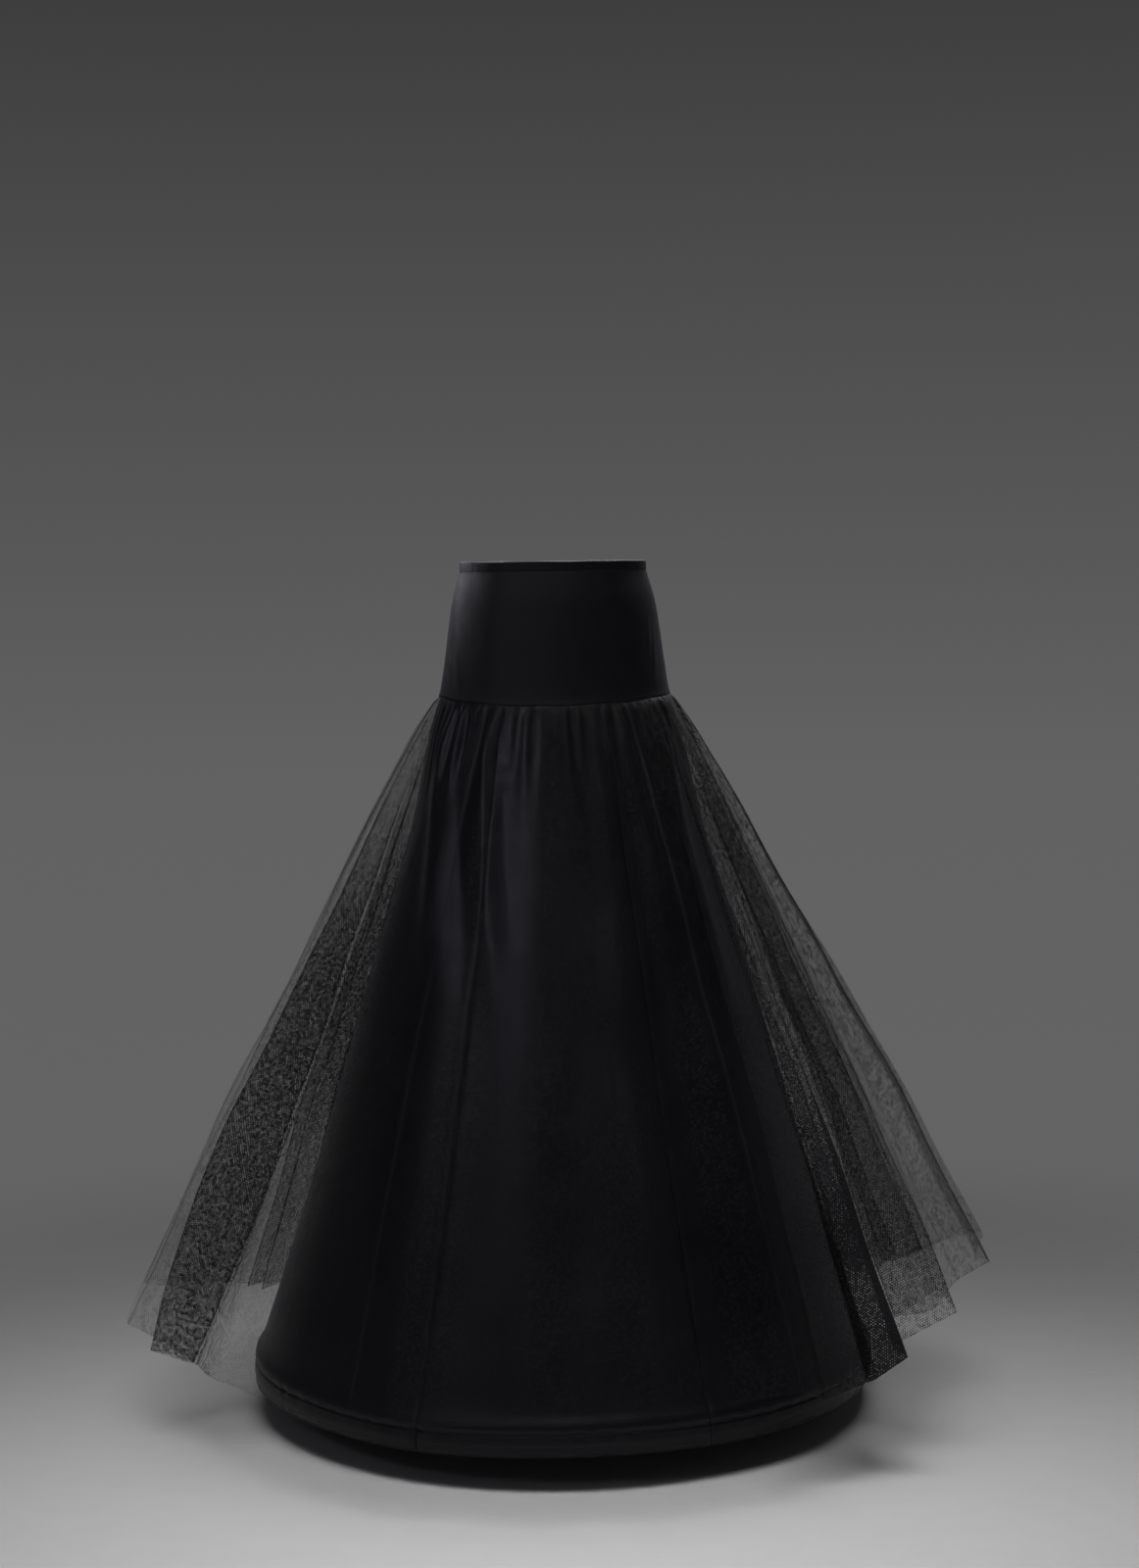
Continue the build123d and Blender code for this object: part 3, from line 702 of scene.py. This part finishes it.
def net_points(w):
    """Grid of net points: w is the share of the hem's length, per column; rows follow S_ROWS."""
    hem = np.stack([np.interp(w * net_hem_length, arc, hem_dense[:, c]) for c in range(3)], axis=-1)
    top_angle = np.radians(top_of(w * net_hem_length))
    hem[:, 2] += ripple(w, hem_uneven)
    top_z = -0.1738 + seam_rise(top_angle) + ripple(top_angle / (2 * np.pi), seam_waves)
    top = np.stack([0.1450 * np.cos(top_angle), 0.1156 * np.sin(top_angle), top_z], axis=-1)
    s = S_ROWS[:, None]
    p = top[None] * (1 - s[..., None]) + hem[None] * s[..., None]
    out = p[..., :2] / np.linalg.norm(p[..., :2], axis=-1, keepdims=True)
    push = bulge(s) + belly_shape(s) * belly_of(w * net_hem_length)[None, :]
    under = smooth(0.003, 0.012, s)
    push = push + under * ripple(w[None, :], gather_fine) * (1 - smooth(0.03, 0.14, s))
    push = push + under * ripple(w[None, :], gather_soft) * smooth(0.0, 0.06, s) * (1 - smooth(0.18, 0.55, s))
    for across, along, phase, size in crumple:
        push = push + 0.0006 * size * smooth(0.05, 0.4, s) * np.sin(across * net_hem_length * w[None, :] * 9 + along * s * 9 + phase)
    p[..., :2] += out * push[..., None]
    # keep off the lining
    la, lb = lining_a(p[..., 2]), lining_b(p[..., 2])
    t = np.arctan2(p[..., 1] / lb, p[..., 0] / la)
    ground = np.hypot(la * np.cos(t), lb * np.sin(t)) + lining_surface(t, p[..., 2]) + 0.0025 * smooth(0.01, 0.06, s)
    lift = np.maximum(ground - np.linalg.norm(p[..., :2], axis=-1), 0) * smooth(0.002, 0.012, s)
    p[..., :2] += out * lift[..., None]
    return p


def share_at(degrees):
    """Share of the hem's length at which the folds' first pass reaches an angle."""
    i = int(np.argmax(hem_angle <= degrees))
    return float(arc[i] / net_hem_length)


bounds_deg = [-2.0, -60.0, -120.0, -180.0, -240.0, -300.0, -362.0]
shares = [0.0] + [share_at(d) for d in bounds_deg[1:-1]] + [1.0]
NET_GORES = ["front_right", "front", "front_left", "back_left", "back", "back_right"]
for k, name in enumerate(NET_GORES):
    w0, w1 = shares[k], shares[k + 1]
    cols = int(round((w1 - w0) * net_hem_length / 0.0045))
    w = np.linspace(w0, w1, cols + 1)
    # closer columns along the pressed folds
    here = [c for c in creases if w0 <= c[0] <= w1]
    extra = [c + d / net_hem_length for c, _ in here for d in (-0.0040, -0.0022, -0.0010, 0.0, 0.0010, 0.0022, 0.0040)]
    w = np.unique(np.concatenate([w] + [[e for e in extra if w0 < e < w1]]))
    w = np.concatenate([w[:1], w[1:-1][(np.diff(w)[:-1] * net_hem_length > 0.0004)], w[-1:]])
    p = net_points(w)
    width = np.concatenate([np.zeros((len(S_ROWS), 1)), np.cumsum(np.linalg.norm(np.diff(p, axis=1), axis=2), axis=1)], axis=1)
    mid = p[:, p.shape[1] // 2]
    length = np.concatenate([[0], np.cumsum(np.linalg.norm(np.diff(mid, axis=0), axis=1))])
    uv = np.stack([width - width[:, -1:] / 2, np.broadcast_to(-length[:, None], width.shape)], axis=-1)
    side = np.minimum(width, width[:, -1:] - width)
    seam = np.exp(-(side / 0.0032) ** 4) + 0.8 * np.exp(-(length[:, None] / 0.008) ** 2) + 0.10 * np.exp(-((length[-1] - length[:, None]) / 0.003) ** 2)
    for c, how in here:
        col = int(np.argmin(np.abs(w - c)))
        seam = seam + 0.75 * how * np.exp(-((width - width[:, col:col + 1]) / 0.0022) ** 2) * smooth(0.03, 0.25, S_ROWS)[:, None]
    o = grid_piece("net_" + name + "_gore", p, uv, TULLE, extra={"seam": np.clip(seam, 0, 1), "dense": net_dense(w)})
    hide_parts("net_" + name)
    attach(o, "root")


# ---- sewing -----------------------------------------------------------------
def stitch_row(name, points, normals, size):
    """Short threads laid end to end along a line: points are the stitches' ends in pairs."""
    verts, faces = [], []
    ring = 6
    for (a, b), up in zip(points, normals):
        along = b - a
        length = np.linalg.norm(along)
        along = along / length
        side = np.cross(up, along)
        base = len(verts)
        for u, fat, rise in ((0.0, 0.35, -0.6), (0.18, 0.9, 0.1), (0.5, 1.0, 0.45), (0.82, 0.9, 0.1), (1.0, 0.35, -0.6)):
            c = a + along * length * u + up * size * rise
            for j in range(ring):
                ang = 2 * math.pi * j / ring
                verts.append(c + (side * math.cos(ang) + up * math.sin(ang) * 0.8) * size * fat)
        for i in range(4):
            for j in range(ring):
                q, r = base + i * ring + j, base + i * ring + (j + 1) % ring
                faces.append((q, r, r + ring, q + ring))
        faces.append(tuple(base + j for j in range(ring))[::-1])
        faces.append(tuple(base + 4 * ring + j for j in range(ring)))
    mesh = bpy.data.meshes.new(name)
    mesh.from_pydata([tuple(v) for v in verts], [], faces)
    mesh.polygons.foreach_set("use_smooth", np.ones(len(mesh.polygons), dtype=bool))
    mesh.update()
    o = bpy.data.objects.new(name, mesh)
    bpy.context.scene.collection.objects.link(o)
    mesh.materials.append(THREAD)
    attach(o, "root")
    return o


def stitches_along(curve, normal, pitch, gap):
    """Splits a closed curve into stitches; curve and normal take an angle array."""
    fine = np.linspace(0, 2 * np.pi, 4000)
    pts = curve(fine)
    run = np.concatenate([[0], np.cumsum(np.linalg.norm(np.diff(pts, axis=0), axis=1))])
    count = int(run[-1] / pitch)
    at = np.arange(count) * run[-1] / count
    ang_a, ang_b = np.interp(at + gap / 2, run, fine), np.interp(at + run[-1] / count - gap / 2, run, fine)
    a, b, nn = curve(ang_a), curve(ang_b), normal((ang_a + ang_b) / 2)
    return [(a[i], b[i]) for i in range(count)], [nn[i] for i in range(count)]


def outward(t):
    return np.stack([np.cos(t), np.sin(t), np.zeros_like(t)], axis=-1)


row = np.array([[0.0, -0.0132]])
ends, ups = stitches_along(lambda t: yoke_points(t, row)[0], outward, 0.0034, 0.0007)
waist_sewing = stitch_row("waist_casing_stitches", ends, ups, 0.00032)
for label, z in (("upper", -1.0085), ("lower", -1.0325)):
    zr, ir = np.array([z]), np.array([0.0])
    ends, ups = stitches_along(lambda t: lining_points(t, zr, ir)[0], outward, 0.0040, 0.0008)
    stitch_row("hem_" + label + "_stitches", ends, ups, 0.00034)


# ---- floor, light and camera ------------------------------------------------
def floor():
    rings = np.linspace(0, 1.8, 31)
    seg = 96
    verts = [(0, 0, FLOOR_Z)]
    faces = []
    for r in rings[1:]:
        for j in range(seg):
            a = 2 * math.pi * j / seg
            verts.append((r * math.cos(a), r * math.sin(a), FLOOR_Z))
    for j in range(seg):
        faces.append((0, 1 + j, 1 + (j + 1) % seg))
    for i in range(len(rings) - 2):
        for j in range(seg):
            q, r = 1 + i * seg + j, 1 + i * seg + (j + 1) % seg
            faces.append((q, q + seg, r + seg, r))
    mesh = bpy.data.meshes.new("floor")
    mesh.from_pydata(verts, [], faces)
    o = bpy.data.objects.new("floor", mesh)
    bpy.context.scene.collection.objects.link(o)
    n = Nodes("studio_floor")
    at = n.add("ShaderNodeTexCoord").outputs["Object"]
    speck = n.noise(at, 30.0, 3.0, 0.5)
    n.link(n.mix_colour(speck, (0.60, 0.60, 0.60, 1), (0.64, 0.64, 0.64, 1)), n.bsdf.inputs["Base Color"])
    n.set(Roughness=0.85, Specular_IOR_Level=0.1)
    flat = n.vec("MULTIPLY", at, (1.0, 1.0, 0.0))
    far = n.vec("LENGTH", flat)
    n.link(n.ramp(far, 0.55, 1.75, 1.0, 0.0), n.bsdf.inputs["Alpha"])
    # painted light: the floor glows faintly beyond the hem's reach to lift the skirt's shadows there, and not under the
    # skirt, so the shade under the hem stays dark
    n.bsdf.inputs["Emission Color"].default_value = (1, 1, 1, 1)
    n.link(n.ramp(far, 0.42, 0.62, 0.0, 0.05), n.bsdf.inputs["Emission Strength"])
    mesh.materials.append(n.material)
    return o


floor_disc = floor()


def area_light(name, place, aim, size, power, colour=(1, 1, 1)):
    data = bpy.data.lights.new(name, "AREA")
    data.shape, data.size, data.size_y = "RECTANGLE", size[0], size[1]
    data.energy, data.color = power, colour
    o = bpy.data.objects.new(name, data)
    o.location = place
    o.rotation_mode = "QUATERNION"
    o.rotation_quaternion = (Vector(aim) - Vector(place)).to_track_quat("-Z", "Y")
    bpy.context.scene.collection.objects.link(o)
    return o


area_light("key_left", (-2.18, -2.70, 1.65), (0, 0, -0.08), (1.0, 1.0), 0.78, (0.82, 0.82, 1.0)).data.spread = math.radians(30)
area_light("yoke_left", (-2.3, 1.5, 0.7), (-0.1, 0, 0.16), (0.3, 0.3), 0.30, (0.90, 0.90, 1.0)).data.spread = math.radians(10)
area_light("fill_right", (3.0, -2.6, 0.9), (0, 0, -0.6), (2.0, 2.0), 0.25, (1.0, 0.99, 0.97))
area_light("front_floor", (0.0, -1.5, 2.6), (0, -1.5, FLOOR_Z), (2.4, 1.4), 23, (1, 1, 1)).data.spread = math.radians(62)
area_light("back_soft", (0.6, 3.0, 1.8), (0, 0.4, -0.6), (2.4, 1.6), 3, (1, 1, 1))
back_high = area_light("back_high", (0.2, 2.4, 2.8), (0, 0.1, -0.55), (2.6, 1.4), 190, (0.96, 0.97, 1.0))
right_high = area_light("right_high", (1.7, 2.2, 2.9), (0, 0, -0.5), (1.4, 1.4), 60, (0.97, 0.98, 1.0))
# these two show the folds of the back and the right side, and leave the floor as it is
lit = bpy.data.collections.new("lit_from_behind")
lit.objects.link(floor_disc)
lit.collection_objects[0].light_linking.link_state = "EXCLUDE"
for lamp in (back_high, right_high):
    lamp.light_linking.receiver_collection = lit

world = bpy.data.worlds.new("studio")
bpy.context.scene.world = world
world.use_nodes = True
wt = world.node_tree
wt.nodes.clear()
w_out = wt.nodes.new("ShaderNodeOutputWorld")
w_bg = wt.nodes.new("ShaderNodeBackground")
w_at = wt.nodes.new("ShaderNodeTexCoord")
w_xyz = wt.nodes.new("ShaderNodeSeparateXYZ")
w_ramp = wt.nodes.new("ShaderNodeValToRGB")
w_map = wt.nodes.new("ShaderNodeMapRange")
wt.links.new(w_at.outputs["Generated"], w_xyz.inputs[0])
wt.links.new(w_xyz.outputs[2], w_map.inputs[0])
w_map.inputs[1].default_value, w_map.inputs[2].default_value = -0.25, 0.25
wt.links.new(w_map.outputs[0], w_ramp.inputs[0])
stops = w_ramp.color_ramp.elements
stops[0].position, stops[0].color = 0.0, (0.128, 0.128, 0.128, 1)
stops[1].position, stops[1].color = 1.0, (0.040, 0.040, 0.040, 1)
for at, v in ((0.35, 0.122), (0.5, 0.098), (0.88, 0.048)):
    e = stops.new(at)
    e.color = (v, v, v, 1)
wt.links.new(w_ramp.outputs[0], w_bg.inputs[0])
wt.links.new(w_bg.outputs[0], w_out.inputs[0])
bpy.context.scene.view_settings.view_transform = "Standard"

cam_data = bpy.data.cameras.new("camera")
cam_data.sensor_width, cam_data.lens = 36.0, 64.7
cam_data.clip_start, cam_data.clip_end = 0.05, 100.0
cam = bpy.data.objects.new("camera", cam_data)
cam.rotation_mode = "QUATERNION"
turn = Matrix.Rotation(math.radians(90 - 4.53), 4, "X") @ Matrix.Rotation(math.radians(-0.77), 4, "Z")
cam.rotation_quaternion = turn.to_quaternion()
cam.location = (0.0175, -3.58, 0.0)
bpy.context.scene.collection.objects.link(cam)
bpy.context.scene.camera = cam
